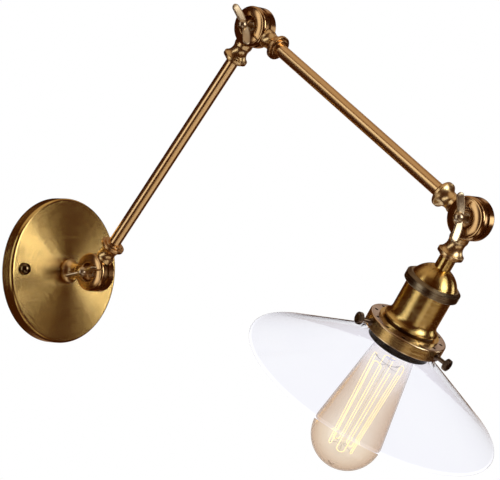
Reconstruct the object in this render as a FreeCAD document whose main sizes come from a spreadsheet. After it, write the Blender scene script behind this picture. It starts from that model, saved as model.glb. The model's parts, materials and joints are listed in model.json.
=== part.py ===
import FreeCAD, Part
import math
import os

import Sketcher

# Swing arm wall lamp: a round wall plate, two tube arms on clamped knuckles, a socket with a
# vented gallery, a conical glass shade and a filament bulb. Millimetres and degrees.
# Row frame: the origin is the middle of the wall plate's back, +X leaves the wall, +Z is up,
# and every knuckle turns about Y. The clamp screws are on the -Y side.
# Turned pieces are drawn with their axis along their own X; knuckle pieces turn about their own Y.

SIZES = [
    # Wall plate and what is behind it
    ("plate_radius", 60),
    ("plate_depth", 11.7),
    ("plate_crown", 2.3),
    ("plate_centre_radius", 12),
    ("plate_edge_radius", 3),
    ("plate_sheet", 1.2),
    ("bracket_end", 6),
    ("bracket_width", 22),
    ("bracket_thickness", 2),
    ("bracket_wire_hole_radius", 7),
    ("wall_slot_spacing", 64),
    ("wall_slot_length", 10),
    ("wall_slot_radius", 2.25),
    ("stud_edge_inset", 9),
    ("stud_radius", 2),
    ("cap_nut_radius", 5),
    ("cap_nut_collar", 2),
    ("cap_nut_seat_sink", 0.12),
    ("lock_nut_flats", 17),
    ("lock_nut_thickness", 4),
    ("lock_washer_radius", 9),
    ("lock_washer_thickness", 1.2),
    ("nipple_overhang", 1),
    ("nipple_wall", 1.5),
    ("terminal_place", 20),
    ("terminal_length", 13),
    ("terminal_width", 16),
    ("terminal_height", 8),
    ("terminal_screw_radius", 1.8),
    ("terminal_screw_spacing", 8),
    ("terminal_screw_depth", 4),
    ("earth_place", 20),
    ("earth_shank_radius", 2),
    ("earth_head_radius", 3.8),
    ("earth_head_height", 2.2),
    # Knuckles
    ("drum_radius", 15.7),
    ("drum_width", 17.2),
    ("drum_edge_radius", 2.2),
    ("drum_cap_width", 4.8),
    ("drum_waist", 1),
    ("dish_radius", 7.6),
    ("dish_floor_radius", 4.4),
    ("dish_depth", 4.8),
    ("dish_lip_round", 0.8),
    ("face_ring_drop", 1),
    ("chamber_radius", 12),
    ("chamber_depth", 2.2),
    ("pivot_hub_radius", 5.5),
    ("pivot_radius", 2.5),
    ("friction_washer_thickness", 0.8),
    ("friction_washer_inset", 0.3),
    ("neck_length", 32),
    ("neck_root_radius", 7.2),
    ("neck_root_length", 2),
    ("neck_flare_radius", 8),
    ("neck_rim_radius", 9.9),
    ("neck_rim_length", 3),
    ("neck_rim_round", 0.6),
    ("neck_bead_radius", 7.7),
    ("neck_bead_length", 1.5),
    ("wire_way_radius", 2.5),
    # Arms
    ("arm_length", 250),
    ("lower_arm_angle", 50.85),
    ("upper_arm_drop_angle", 34.75),
    ("head_lean_angle", 31.5),
    ("tube_radius", 5),
    ("tube_wall", 0.8),
    ("tube_insert", 12),
    # Clamp screws of the knuckles
    ("screw_flange_radius", 3.6),
    ("screw_flange_thickness", 1),
    ("screw_stem_radius", 2.1),
    ("screw_stem_length", 10),
    ("screw_hub_radius", 3.1),
    ("screw_tip_stand", 1.4),
    ("wing_length", 17.2),
    ("wing_root_width", 6.2),
    ("wing_tip_width", 4.2),
    ("wing_flare", 2),
    ("wing_bow", 35),
    ("wing_thickness", 2),
    ("shoulder_wing_angle", 75.5),
    ("elbow_wing_angle", -25),
    ("head_wing_angle", 6),
    # Socket
    ("cap_neck_radius", 6.1),
    ("cap_neck_length", 9.2),
    ("cap_radius", 17.3),
    ("cap_dome_height", 10.4),
    ("cap_dome_radius", 18),
    ("cap_skirt_length", 3.4),
    ("cap_sheet", 1),
    ("head_nipple_engagement", 10),
    ("ring_radius", 21.1),
    ("ring_length", 7.1),
    ("ring_bevel", 1.8),
    ("ring_land", 1.3),
    ("ring_round", 0.7),
    ("shell_radius", 17.8),
    ("shell_length", 33),
    ("shell_sheet", 1.2),
    ("skirt_radius", 20.8),
    ("skirt_flare_length", 5.3),
    ("skirt_lip", 1.2),
    ("holder_top_gap", 2),
    ("holder_shoulder", 3),
    ("holder_floor_depth", 22),
    ("holder_wire_hole_radius", 3),
    ("holder_cup_radius", 14.3),
    ("holder_screw_radius", 1.6),
    ("holder_screw_head_radius", 2.6),
    ("holder_screw_head_height", 1.6),
    ("holder_screw_length", 8),
    ("holder_screw_circle", 8),
    ("sleeve_radius", 19.2),
    ("sleeve_show", 1.9),
    ("screw_shell_wall", 0.8),
    ("screw_shell_length", 27),
    ("contact_stem_length", 11),
    ("contact_head_radius", 4.5),
    ("contact_head_height", 1.8),
    # Gallery and glass
    ("gallery_washer_radius", 23.4),
    ("gallery_washer_thickness", 1.5),
    ("gallery_radius", 30.1),
    ("gallery_depth", 9),
    ("gallery_sheet", 1),
    ("gallery_hole_radius", 19.5),
    ("gallery_vents", 12),
    ("gallery_vent_circle", 26),
    ("gallery_vent_radius", 1.4),
    ("gallery_vent_angle", 3.5),
    ("gallery_nut_radius", 23.3),
    ("gallery_nut_length", 15.4),
    ("gallery_nut_round", 0.8),
    ("sleeve_recess", 0.5),
    ("shade_seat_gap", 0.25),
    ("shade_lip_radius", 28.4),
    ("shade_lip_round", 0.6),
    ("shade_neck_radius", 27.2),
    ("shade_neck_length", 9.8),
    ("shade_bend_radius", 8),
    ("shade_slope_angle", 61.4),
    ("shade_radius", 98.4),
    ("shade_glass", 2.6),
    ("shade_rim_round", 1.35),
    ("shade_screw_drop", 4.6),
    ("shade_screw_radius", 1.6),
    ("shade_screw_tip_gap", 0.1),
    ("shade_screw_reach", 42),
    ("shade_screw_head_radius", 4.3),
    ("shade_screw_head_length", 3.4),
    ("shade_screw_round", 0.6),
    ("shade_screw_angle", -24.5),
    # Bulb
    ("bulb_cap_radius", 13.1),
    ("bulb_cap_length", 24.5),
    ("bulb_cap_taper", 3),
    ("bulb_cap_sheet", 0.6),
    ("bulb_base_radius", 8),
    ("bulb_insulator_height", 1.7),
    ("bulb_contact_radius", 4.5),
    ("bulb_contact_height", 1),
    ("bulb_tuck", 7.5),
    ("bulb_throat", 4.5),
    ("bulb_glass_wall", 0.8),
    ("bulb_flare_angle", 8.6),
    ("bulb_radius", 26.6),
    ("bulb_length", 136.2),
    ("bulb_tip_radius", 2.6),
    ("bulb_tip_length", 2.6),
    ("stem_flare_thickness", 1.2),
    ("stem_taper_length", 3),
    ("stem_radius", 3.6),
    ("stem_length", 21),
    ("support_rod_radius", 0.9),
    ("support_wire_radius", 0.35),
    ("filament_radius", 0.3),
    ("filament_top_circle", 12.3),
    ("filament_base_circle", 9.6),
    ("filament_start", 5),
    ("filament_length", 70),
    ("filament_strands", 10),
    # Fits
    ("slip_clearance", 0.05),
    ("swing_gap", 0.35),
    ("stud_clearance", 0.2),
]


SHADE_SCREWS = 3


class Size:
    """A value together with the expression that gives it in the document."""

    def __init__(self, value, text):
        self.value = value
        self.text = text

    def __add__(self, other):
        other = as_size(other)
        return Size(self.value + other.value, f"({self.text} + {other.text})")

    def __sub__(self, other):
        other = as_size(other)
        return Size(self.value - other.value, f"({self.text} - {other.text})")

    def __mul__(self, other):
        other = as_size(other)
        return Size(self.value * other.value, f"({self.text} * {other.text})")

    def __truediv__(self, other):
        other = as_size(other)
        return Size(self.value / other.value, f"({self.text} / {other.text})")

    def __neg__(self):
        return Size(-self.value, f"(0 - {self.text})")

    __radd__ = __add__
    __rmul__ = __mul__


def as_size(number):
    """A plain number as a Size."""
    if isinstance(number, Size):
        return number
    return Size(float(number), str(number))


def sine(angle):
    return Size(math.sin(math.radians(angle.value)), f"sin({angle.text})")


def cosine(angle):
    return Size(math.cos(math.radians(angle.value)), f"cos({angle.text})")


def tangent(angle):
    return Size(math.tan(math.radians(angle.value)), f"tan({angle.text})")


def square_root(size):
    return Size(math.sqrt(size.value), f"sqrt({size.text})")


class Sheet:
    """The driving dimensions, each an attribute that is a Size."""

    def __init__(self, document, rows):
        sheet = document.addObject("Spreadsheet::Sheet", "sizes")
        for row, (alias, number) in enumerate(rows, start=1):
            sheet.set(f"A{row}", alias)
            sheet.set(f"B{row}", str(number))
            sheet.setAlias(f"B{row}", alias)
            setattr(self, alias, Size(float(number), f"sizes.{alias}"))


class Station:
    """A place on the lamp: a point of the XZ plane and the direction of the local X axis."""

    def __init__(self, x, z, turn):
        self.x = as_size(x)
        self.z = as_size(z)
        self.turn = as_size(turn)

    def carry(self, body, roll=0):
        """Place a body here, rolled about its own X axis first."""
        spot = f"vector({self.x.text}; 0; {self.z.text})"
        rotation = f"rotation(0; {self.turn.text}; {as_size(roll).text})"
        body.setExpression("Placement", f"placement({spot}; {rotation})")

    def along(self, distance, turn):
        """The station at a distance along this one's X axis, facing another way."""
        x = self.x + distance * cosine(self.turn)
        z = self.z - distance * sine(self.turn)
        return Station(x, z, turn)


document = FreeCAD.newDocument("swing_arm_wall_lamp")
size = Sheet(document, SIZES)
document.recompute()


# Derived places along the lamp

plate_front = size.plate_depth + size.plate_crown
stud_place = size.plate_radius - size.plate_edge_radius - size.stud_edge_inset
shoulder_reach = plate_front + size.neck_length

row = Station(0, 0, 0)
wall_neck = Station(shoulder_reach, 0, 180)
lower_arm = Station(shoulder_reach, 0, -size.lower_arm_angle)
elbow_back = lower_arm.along(size.arm_length, as_size(180) - size.lower_arm_angle)
upper_arm = lower_arm.along(size.arm_length, size.upper_arm_drop_angle)
head_back = upper_arm.along(size.arm_length, as_size(180) + size.upper_arm_drop_angle)
head = upper_arm.along(size.arm_length, as_size(90) + size.head_lean_angle)

half_washer = size.friction_washer_thickness / 2
half_drum = size.drum_width / 2
waist_radius = size.drum_radius - size.drum_waist
tube_start = size.neck_length - size.tube_insert
thread_bore = size.tube_radius + size.slip_clearance

cap_start = size.neck_length
dome_start = cap_start + size.cap_neck_length
ring_start = dome_start + size.cap_dome_height
shell_start = ring_start + size.cap_skirt_length
shell_end = shell_start + size.shell_length
shell_inner = size.shell_radius - size.shell_sheet
gallery_washer_start = shell_end + size.sleeve_show
gallery_start = gallery_washer_start + size.gallery_washer_thickness
gallery_floor = gallery_start + size.gallery_sheet
gallery_end = gallery_start + size.gallery_depth
nut_end = gallery_floor + size.gallery_nut_length
sleeve_end = nut_end - size.sleeve_recess
holder_start = shell_start + size.holder_top_gap
holder_floor = shell_start + size.holder_floor_depth
shade_start = gallery_floor + size.shade_seat_gap
shade_bend = shade_start + size.shade_neck_length
shade_screw_station = gallery_start + size.shade_screw_drop
shade_lip_end = shade_screw_station - size.shade_screw_radius - size.swing_gap
bulb_start = holder_floor + size.contact_head_height
bulb_base = bulb_start + size.bulb_contact_height
bulb_cap_start = bulb_base + size.bulb_insulator_height
bulb_cap_end = bulb_cap_start + size.bulb_cap_length
bulb_end = bulb_start + size.bulb_length
stem_start = bulb_cap_end - size.bulb_tuck
filament_start = stem_start + size.stem_length + size.filament_start
filament_end = filament_start + size.filament_length


# Sketching

def new_body(label):
    return document.addObject("PartDesign::Body", label)


def origin_feature(body, role):
    return next(item for item in body.Origin.OriginFeatures if item.Role == role)


def new_sketch(body, plane, offset=0, shift=0):
    """An empty sketch on an origin plane, moved along the plane's normal and its second axis."""
    sketch = body.newObject("Sketcher::SketchObject", f"{body.Name}_sketch")
    sketch.AttachmentSupport = [(origin_feature(body, plane), "")]
    sketch.MapMode = "FlatFace"
    for path, move in (("AttachmentOffset.Base.z", offset), ("AttachmentOffset.Base.y", shift)):
        if as_size(move).value != 0:
            sketch.setExpression(path, as_size(move).text)
    return sketch


def hold(sketch, kind, places, wanted):
    """Add a sized constraint and tie it to its expression."""
    wanted = as_size(wanted)
    index = sketch.addConstraint(Sketcher.Constraint(kind, *places, wanted.value))
    sketch.setExpression(f"Constraints[{index}]", wanted.text)


def hold_point(sketch, edge, end, x, y):
    """Fix one end of an edge at (x, y) from the sketch's origin."""
    for kind, axis, wanted in (("DistanceX", -2, as_size(x)), ("DistanceY", -1, as_size(y))):
        if wanted.value == 0:
            sketch.addConstraint(Sketcher.Constraint("PointOnObject", edge, end, axis))
        elif wanted.value > 0:
            hold(sketch, kind, (-1, 1, edge, end), wanted)
        else:
            hold(sketch, kind, (edge, end, -1, 1), -wanted)


def arc_between(start, end, radius):
    """The short arc from start to end: left-hand for a positive radius, right-hand for a negative."""
    chord = end - start
    reach = math.sqrt(max(radius * radius - chord.Length ** 2 / 4, 0))
    left = FreeCAD.Vector(-chord.y, chord.x, 0).normalize()
    centre = (start + end) * 0.5 + left * math.copysign(reach, radius)
    first, last = (start, end) if radius > 0 else (end, start)
    angles = [math.atan2(point.y - centre.y, point.x - centre.x) for point in (first, last)]
    if angles[1] < angles[0]:
        angles[1] += 2 * math.pi
    circle = Part.Circle(centre, FreeCAD.Vector(0, 0, 1), abs(radius))
    return Part.ArcOfCircle(circle, angles[0], angles[1])


def draw_outline(sketch, points):
    """A closed outline. A point is (x, y), or (x, y, radius) where an arc leads to it."""
    corners = [FreeCAD.Vector(as_size(point[0]).value, as_size(point[1]).value, 0) for point in points]
    edges = []
    for number, point in enumerate(points):
        start = corners[number - 1]
        end = corners[number]
        if len(point) == 2:
            edge = sketch.addGeometry(Part.LineSegment(start, end))
            edges.append((edge, 1, 2))
        else:
            radius = as_size(point[2])
            edge = sketch.addGeometry(arc_between(start, end, radius.value))
            edges.append((edge, 1, 2) if radius.value > 0 else (edge, 2, 1))
            hold(sketch, "Radius", (edge,), radius if radius.value > 0 else -radius)
    for number, (edge, first, last) in enumerate(edges):
        following, start_end, _ = edges[(number + 1) % len(edges)]
        sketch.addConstraint(Sketcher.Constraint("Coincident", edge, last, following, start_end))
        hold_point(sketch, edge, last, points[number][0], points[number][1])


def draw_circle(sketch, radius, x=0, y=0):
    centre = FreeCAD.Vector(as_size(x).value, as_size(y).value, 0)
    edge = sketch.addGeometry(Part.Circle(centre, FreeCAD.Vector(0, 0, 1), radius.value))
    hold(sketch, "Radius", (edge,), radius)
    hold_point(sketch, edge, 3, x, y)


def draw_rectangle(sketch, x, y, length, width):
    """A rectangle centred on (x, y)."""
    left = x - length / 2
    right = x + length / 2
    low = y - width / 2
    high = y + width / 2
    draw_outline(sketch, [(left, low), (right, low), (right, high), (left, high)])


def draw_slot(sketch, x, y, length, radius):
    """A slot along the sketch's X axis, centred on (x, y)."""
    left = x - length / 2 + radius
    right = x + length / 2 - radius
    low = as_size(y) - radius
    high = as_size(y) + radius
    middle = as_size(y)
    draw_outline(sketch, [
        (right, low),
        (right + radius, middle, radius),
        (right, high, radius),
        (left, high),
        (left - radius, middle, radius),
        (left, low, radius),
    ])


def draw_hexagon(sketch, flats):
    """A hexagon about the sketch's origin, by its width across flats."""
    corner = flats / math.sqrt(3)
    steps = [as_size(60 * number) for number in range(6)]
    draw_outline(sketch, [(corner * cosine(step), corner * sine(step)) for step in steps])


# Features

def add_feature(body, kind, sketch):
    feature = body.newObject(f"PartDesign::{kind}", f"{body.Name}_{kind.lower()}")
    feature.Profile = sketch
    return feature


def turn(body, points, kind="Revolution", axis="H_Axis", shift=0):
    """Turn an outline of the body's XY plane about the sketch's own axis."""
    sketch = new_sketch(body, "XY_Plane", shift=shift)
    draw_outline(sketch, points)
    feature = add_feature(body, kind, sketch)
    feature.ReferenceAxis = (sketch, [axis])
    feature.Angle = 360
    return feature


def extrude(body, sketch, length, side="One side"):
    feature = add_feature(body, "Pad", sketch)
    feature.SideType = side
    feature.setExpression("Length", as_size(length).text)
    return feature


def cut_through(body, sketch, reverse=False):
    """Cut everything on one side of the sketch: behind it, or in front of it when reversed."""
    feature = add_feature(body, "Pocket", sketch)
    feature.Type = "ThroughAll"
    feature.Reversed = reverse
    return feature


def polar_copies(body, originals, count):
    """Repeat features evenly round the body's X axis."""
    pattern = body.newObject("PartDesign::PolarPattern", f"{body.Name}_ring")
    pattern.Originals = originals
    pattern.Axis = (origin_feature(body, "X_Axis"), [""])
    pattern.Angle = 360
    pattern.setExpression("Occurrences", as_size(count).text)
    body.Tip = pattern


def mirror(body, originals, plane):
    copy = body.newObject("PartDesign::Mirrored", f"{body.Name}_mirror")
    copy.Originals = originals
    copy.MirrorPlane = (origin_feature(body, plane), [""])
    body.Tip = copy


def turned_piece(label, station, points):
    """A piece turned about the station's X axis."""
    body = new_body(label)
    turn(body, points)
    station.carry(body)
    return body


def tube_piece(label, station, start, length, outer, inner):
    """A straight round tube along the station's X axis."""
    body = new_body(label)
    sketch = new_sketch(body, "YZ_Plane", offset=start)
    draw_circle(sketch, outer)
    draw_circle(sketch, inner)
    extrude(body, sketch, length)
    station.carry(body)


# Wall plate and what is behind it

def plate_face_at(radius):
    """Distance from the wall of the crowned face at a radius."""
    edge = size.plate_radius - size.plate_edge_radius
    run = edge - size.plate_centre_radius
    return size.plate_depth + size.plate_crown * (edge - radius) / run


seat_far_edge = stud_place + size.cap_nut_radius + size.stud_clearance
cap_nut_seat = plate_face_at(seat_far_edge) - size.cap_nut_seat_sink


def wall_plate():
    """Spun sheet with a rolled edge and a crowned face, flat where the neck and the cap nuts sit."""
    hole = size.tube_radius + size.stud_clearance
    edge = size.plate_radius - size.plate_edge_radius
    rim = size.plate_depth - size.plate_edge_radius
    inner_round = size.plate_edge_radius - size.plate_sheet
    body = new_body("wall_plate")
    turn(body, [
        (0, size.plate_radius - size.plate_sheet),
        (0, size.plate_radius),
        (rim, size.plate_radius),
        (size.plate_depth, edge, -size.plate_edge_radius),
        (plate_front, size.plate_centre_radius),
        (plate_front, hole),
        (plate_front - size.plate_sheet, hole),
        (plate_front - size.plate_sheet, size.plate_centre_radius),
        (size.plate_depth - size.plate_sheet, edge),
        (rim, edge + inner_round, inner_round),
    ])
    for radius, reverse in ((size.cap_nut_radius + size.stud_clearance, True),
                            (size.stud_radius + size.stud_clearance, False)):
        sketch = new_sketch(body, "YZ_Plane", offset=cap_nut_seat)
        draw_circle(sketch, radius, stud_place)
        draw_circle(sketch, radius, -stud_place)
        cut_through(body, sketch, reverse)
    row.carry(body)


def mounting_bracket():
    """Cross bar against the wall, with slots for wall screws and holes for the studs and wires."""
    body = new_body("mounting_bracket")
    sketch = new_sketch(body, "YZ_Plane")
    length = (stud_place + size.bracket_end) * 2
    draw_rectangle(sketch, as_size(0), as_size(0), length, size.bracket_width)
    draw_circle(sketch, size.bracket_wire_hole_radius)
    for side in (1, -1):
        draw_slot(sketch, side * size.wall_slot_spacing / 2, 0, size.wall_slot_length, size.wall_slot_radius)
        draw_circle(sketch, size.stud_radius + size.slip_clearance, side * stud_place)
    draw_circle(sketch, size.earth_shank_radius + size.slip_clearance, -size.earth_place)
    extrude(body, sketch, size.bracket_thickness)
    row.carry(body)


def bracket_studs():
    """Two threaded studs from the bracket into the cap nuts."""
    body = new_body("bracket_studs")
    sketch = new_sketch(body, "YZ_Plane")
    for side in (1, -1):
        draw_circle(sketch, size.stud_radius, side * stud_place)
    extrude(body, sketch, cap_nut_seat + size.cap_nut_radius)
    row.carry(body)


def cap_nuts():
    """Two ball-headed cap nuts on the plate's face."""
    bore = size.stud_radius + size.slip_clearance
    bore_end = cap_nut_seat + size.cap_nut_radius
    dome = cap_nut_seat + size.cap_nut_collar
    body = new_body("cap_nuts")
    nut = turn(body, [
        (cap_nut_seat, bore),
        (cap_nut_seat, size.cap_nut_radius),
        (dome, size.cap_nut_radius),
        (dome + size.cap_nut_radius, 0, -size.cap_nut_radius),
        (bore_end, 0),
        (bore_end, bore),
    ], shift=stud_place)
    mirror(body, [nut], "XZ_Plane")
    row.carry(body)


def wall_nipple():
    """Hollow threaded nipple from the wall neck to behind the lock nut."""
    behind = size.plate_sheet + size.lock_washer_thickness + size.lock_nut_thickness + size.nipple_overhang
    inner = size.tube_radius - size.nipple_wall
    length = size.tube_insert + behind
    tube_piece("wall_nipple", wall_neck, tube_start, length, size.tube_radius, inner)


def wall_lock_washer():
    start = size.neck_length + size.plate_sheet
    tube_piece("wall_lock_washer", wall_neck, start, size.lock_washer_thickness,
               size.lock_washer_radius, thread_bore)


def wall_lock_nut():
    body = new_body("wall_lock_nut")
    start = size.neck_length + size.plate_sheet + size.lock_washer_thickness
    sketch = new_sketch(body, "YZ_Plane", offset=start)
    draw_hexagon(sketch, size.lock_nut_flats)
    draw_circle(sketch, thread_bore)
    extrude(body, sketch, size.lock_nut_thickness)
    wall_neck.carry(body)


def terminal_screw_places():
    """The places of the two terminal screws, up and down from the middle."""
    return [side * size.terminal_screw_spacing / 2 for side in (1, -1)]


def terminal_block():
    """Insulating block on the bracket, with two screw wells."""
    body = new_body("terminal_block")
    sketch = new_sketch(body, "YZ_Plane", offset=size.bracket_thickness)
    draw_rectangle(sketch, size.terminal_place, as_size(0), size.terminal_length, size.terminal_width)
    extrude(body, sketch, size.terminal_height)
    wells = new_sketch(body, "YZ_Plane",
                       offset=size.bracket_thickness + size.terminal_height - size.terminal_screw_depth)
    for place in terminal_screw_places():
        draw_circle(wells, size.terminal_screw_radius + size.slip_clearance, size.terminal_place, place)
    cut_through(body, wells, reverse=True)
    row.carry(body)


def terminal_screws():
    body = new_body("terminal_screws")
    sketch = new_sketch(body, "YZ_Plane",
                        offset=size.bracket_thickness + size.terminal_height - size.terminal_screw_depth)
    for place in terminal_screw_places():
        draw_circle(sketch, size.terminal_screw_radius, size.terminal_place, place)
    extrude(body, sketch, size.terminal_screw_depth)
    row.carry(body)


def earth_screw():
    """Pan-headed earth screw in the bracket."""
    body = new_body("earth_screw")
    turn(body, [
        (0, 0),
        (0, size.earth_shank_radius),
        (size.bracket_thickness, size.earth_shank_radius),
        (size.bracket_thickness, size.earth_head_radius),
        (size.bracket_thickness + size.earth_head_height, size.earth_head_radius),
        (size.bracket_thickness + size.earth_head_height, 0),
    ], shift=-size.earth_place)
    row.carry(body)


# Knuckles

def flare_radius(run, rise):
    """Radius of the arc that leaves a straight line tangentially and rises by rise over run."""
    return (run * run + rise * rise) / (2 * rise)


def neck_outline():
    """Half section of the turned neck: root, concave flare, rim and end bead."""
    inside = size.chamber_radius
    root_end = size.drum_radius + size.neck_root_length
    bead_start = size.neck_length - size.neck_bead_length
    rim_start = bead_start - size.neck_rim_length
    rim_round = size.neck_rim_round
    return [
        (inside, 0),
        (inside, size.neck_root_radius),
        (root_end, size.neck_root_radius),
        (rim_start, size.neck_rim_radius - rim_round, size.neck_flare_radius),
        (rim_start + rim_round, size.neck_rim_radius, -rim_round),
        (bead_start - rim_round, size.neck_rim_radius),
        (bead_start, size.neck_rim_radius - rim_round, -rim_round),
        (bead_start, size.neck_bead_radius),
        (size.neck_length - rim_round, size.neck_bead_radius),
        (size.neck_length, size.neck_bead_radius - rim_round, -rim_round),
        (size.neck_length, 0),
    ]


def drum_outline(rear):
    """Half section of the half drum in front of the parting: bore, wire chamber, and a face with a bowl
    inside a domed ring. The front half has a narrower waist next to the parting."""
    bore = size.pivot_radius + size.slip_clearance
    parting = -half_washer
    floor = parting - size.chamber_depth
    face = -half_drum
    dish = face + size.dish_depth
    bowl_radius = size.dish_radius - size.dish_floor_radius
    ring_crest = size.dish_radius + size.dish_lip_round
    ring_edge = size.drum_radius - size.drum_edge_radius
    ring_end = face + size.face_ring_drop
    cap_end = face + size.drum_cap_width
    waist = [(size.drum_radius, cap_end), (waist_radius, cap_end), (waist_radius, parting)]
    side = [(size.drum_radius, parting)] if rear else waist
    return [
        (bore, parting),
        (bore, dish),
        (size.dish_floor_radius, dish),
        (size.dish_radius, dish - bowl_radius, -bowl_radius),
        (size.dish_radius, face + size.dish_lip_round),
        (ring_crest, face, size.dish_lip_round),
        (ring_edge, ring_end, flare_radius(ring_edge - ring_crest, size.face_ring_drop)),
        (size.drum_radius, ring_end + size.drum_edge_radius, size.drum_edge_radius),
        *side,
        (size.chamber_radius, parting),
        (size.chamber_radius, floor),
        (size.pivot_hub_radius, floor),
        (size.pivot_hub_radius, parting),
    ]


def knuckle_half(label, station, rear):
    """A half drum with its turned neck. The rear half has no waist and is rolled half a turn."""
    body = new_body(label)
    turn(body, neck_outline())
    clearing = new_sketch(body, "XZ_Plane", offset=half_washer)
    draw_circle(clearing, size.drum_radius + size.swing_gap)
    cut_through(body, clearing)
    turn(body, drum_outline(rear), axis="V_Axis")
    turn(body, [
        (size.chamber_radius - size.wire_way_radius, 0),
        (size.chamber_radius - size.wire_way_radius, size.wire_way_radius),
        (tube_start, size.wire_way_radius),
        (tube_start, thread_bore),
        (size.neck_length, thread_bore),
        (size.neck_length, 0),
    ], kind="Groove")
    station.carry(body, 180 if rear else 0)


def friction_washer(label, station):
    """Thin washer between the halves of a knuckle."""
    body = new_body(label)
    sketch = new_sketch(body, "XZ_Plane")
    draw_circle(sketch, waist_radius - size.friction_washer_inset)
    draw_circle(sketch, size.chamber_radius)
    extrude(body, sketch, size.friction_washer_thickness, "Symmetric")
    station.carry(body)


def wing_screw(label, joint, wing_turn):
    """Clamp screw of a knuckle: shank, flange, stem and hub, with two leaf wings."""
    seat = size.dish_depth - half_drum
    flange = seat - size.screw_flange_thickness
    hub = flange - size.screw_stem_length
    hub_start = hub + square_root(size.screw_hub_radius * size.screw_hub_radius
                                  - size.screw_stem_radius * size.screw_stem_radius)
    shank_end = half_drum - size.dish_depth + size.screw_tip_stand
    body = new_body(label)
    turn(body, [
        (0, shank_end),
        (0, hub - size.screw_hub_radius),
        (size.screw_hub_radius, hub, size.screw_hub_radius),
        (size.screw_stem_radius, hub_start, size.screw_hub_radius),
        (size.screw_stem_radius, flange),
        (size.screw_flange_radius, flange),
        (size.screw_flange_radius, seat),
        (size.pivot_radius, seat),
        (size.pivot_radius, shank_end),
    ], axis="V_Axis")
    leaf = new_sketch(body, "YZ_Plane")
    half_root = size.wing_root_width / 2
    half_tip = size.wing_tip_width / 2
    tip = hub - size.wing_flare
    shoulder = size.wing_length - half_tip
    draw_outline(leaf, [
        (hub + half_root, 0),
        (tip + half_tip, shoulder, size.wing_bow),
        (tip, size.wing_length, half_tip),
        (tip - half_tip, shoulder, half_tip),
        (hub - half_root, 0, -size.wing_bow),
    ])
    wing = extrude(body, leaf, size.wing_thickness, "Symmetric")
    mirror(body, [wing], "XY_Plane")
    Station(joint.x, joint.z, wing_turn).carry(body)


# Arms

def arm_tube(label, station):
    """Straight tube between the necks at the two ends of an arm."""
    inner = size.tube_radius - size.tube_wall
    length = size.arm_length - tube_start * 2
    tube_piece(label, station, tube_start, length, size.tube_radius, inner)


# Socket

def head_nipple():
    inner = size.tube_radius - size.nipple_wall
    length = size.tube_insert + size.head_nipple_engagement
    tube_piece("head_nipple", head, tube_start, length, size.tube_radius, inner)


def socket_cap():
    """Domed cap with a threaded neck."""
    inner_round = size.cap_dome_radius - size.cap_sheet
    inner_radius = size.cap_radius - size.cap_sheet
    turned_piece("socket_cap", head, [
        (cap_start, thread_bore),
        (cap_start, size.cap_neck_radius),
        (dome_start, size.cap_neck_radius),
        (ring_start, size.cap_radius, -size.cap_dome_radius),
        (shell_start, size.cap_radius),
        (shell_start, inner_radius),
        (ring_start, inner_radius),
        (dome_start + size.cap_sheet, size.cap_neck_radius, inner_round),
        (dome_start + size.cap_sheet, thread_bore),
    ])


def socket_ring():
    """Thick bevelled ring that clamps the cap to the shell."""
    cap_bore = size.cap_radius + size.slip_clearance
    shell_bore = size.shell_radius + size.slip_clearance
    end = ring_start + size.ring_length
    turned_piece("socket_ring", head, [
        (ring_start, cap_bore),
        (ring_start, cap_bore + size.ring_land),
        (ring_start + size.ring_bevel, size.ring_radius),
        (end - size.ring_round, size.ring_radius),
        (end, size.ring_radius - size.ring_round, -size.ring_round),
        (end, shell_bore),
        (shell_start, shell_bore),
        (shell_start, cap_bore),
    ])


def socket_shell():
    """Cylinder with a flared skirt."""
    flare_end = shell_end - size.skirt_lip
    flare_start = flare_end - size.skirt_flare_length
    flare = flare_radius(size.skirt_flare_length, size.skirt_radius - size.shell_radius)
    skirt_inner = size.skirt_radius - size.shell_sheet
    turned_piece("socket_shell", head, [
        (shell_start, shell_inner),
        (shell_start, size.shell_radius),
        (flare_start, size.shell_radius),
        (flare_end, size.skirt_radius, flare),
        (shell_end, size.skirt_radius),
        (shell_end, skirt_inner),
        (flare_end, skirt_inner),
        (flare_start, shell_inner, -flare),
    ])


def lampholder():
    """Insulating core in the shell, with the sleeve that carries the gallery."""
    radius = shell_inner - size.slip_clearance
    flare_end = shell_end - size.skirt_lip
    flare_start = flare_end - size.skirt_flare_length
    flare = flare_radius(size.skirt_flare_length, size.sleeve_radius - radius)
    body = turned_piece("lampholder", head, [
        (holder_start, size.holder_wire_hole_radius),
        (holder_start, radius - size.holder_shoulder),
        (holder_start + size.holder_shoulder, radius),
        (flare_start, radius),
        (flare_end, size.sleeve_radius, flare),
        (sleeve_end, size.sleeve_radius),
        (sleeve_end, size.holder_cup_radius),
        (holder_floor, size.holder_cup_radius),
        (holder_floor, size.holder_wire_hole_radius),
    ])
    wells = new_sketch(body, "YZ_Plane", offset=holder_start + size.holder_screw_length)
    for side in (1, -1):
        draw_circle(wells, size.holder_screw_radius + size.slip_clearance, side * size.holder_screw_circle)
    cut_through(body, wells)


def lampholder_screws():
    """Two terminal screws on the core's top."""
    shank_start = holder_start - size.holder_screw_head_height
    shank_end = holder_start + size.holder_screw_length
    body = new_body("lampholder_screws")
    screw = turn(body, [
        (shank_start, 0),
        (shank_start, size.holder_screw_head_radius),
        (holder_start, size.holder_screw_head_radius),
        (holder_start, size.holder_screw_radius),
        (shank_end, size.holder_screw_radius),
        (shank_end, 0),
    ], shift=size.holder_screw_circle)
    mirror(body, [screw], "XZ_Plane")
    head.carry(body)


def lampholder_screw_shell():
    outer = size.holder_cup_radius - size.slip_clearance
    tube_piece("lampholder_screw_shell", head, holder_floor, size.screw_shell_length,
               outer, outer - size.screw_shell_wall)


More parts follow.
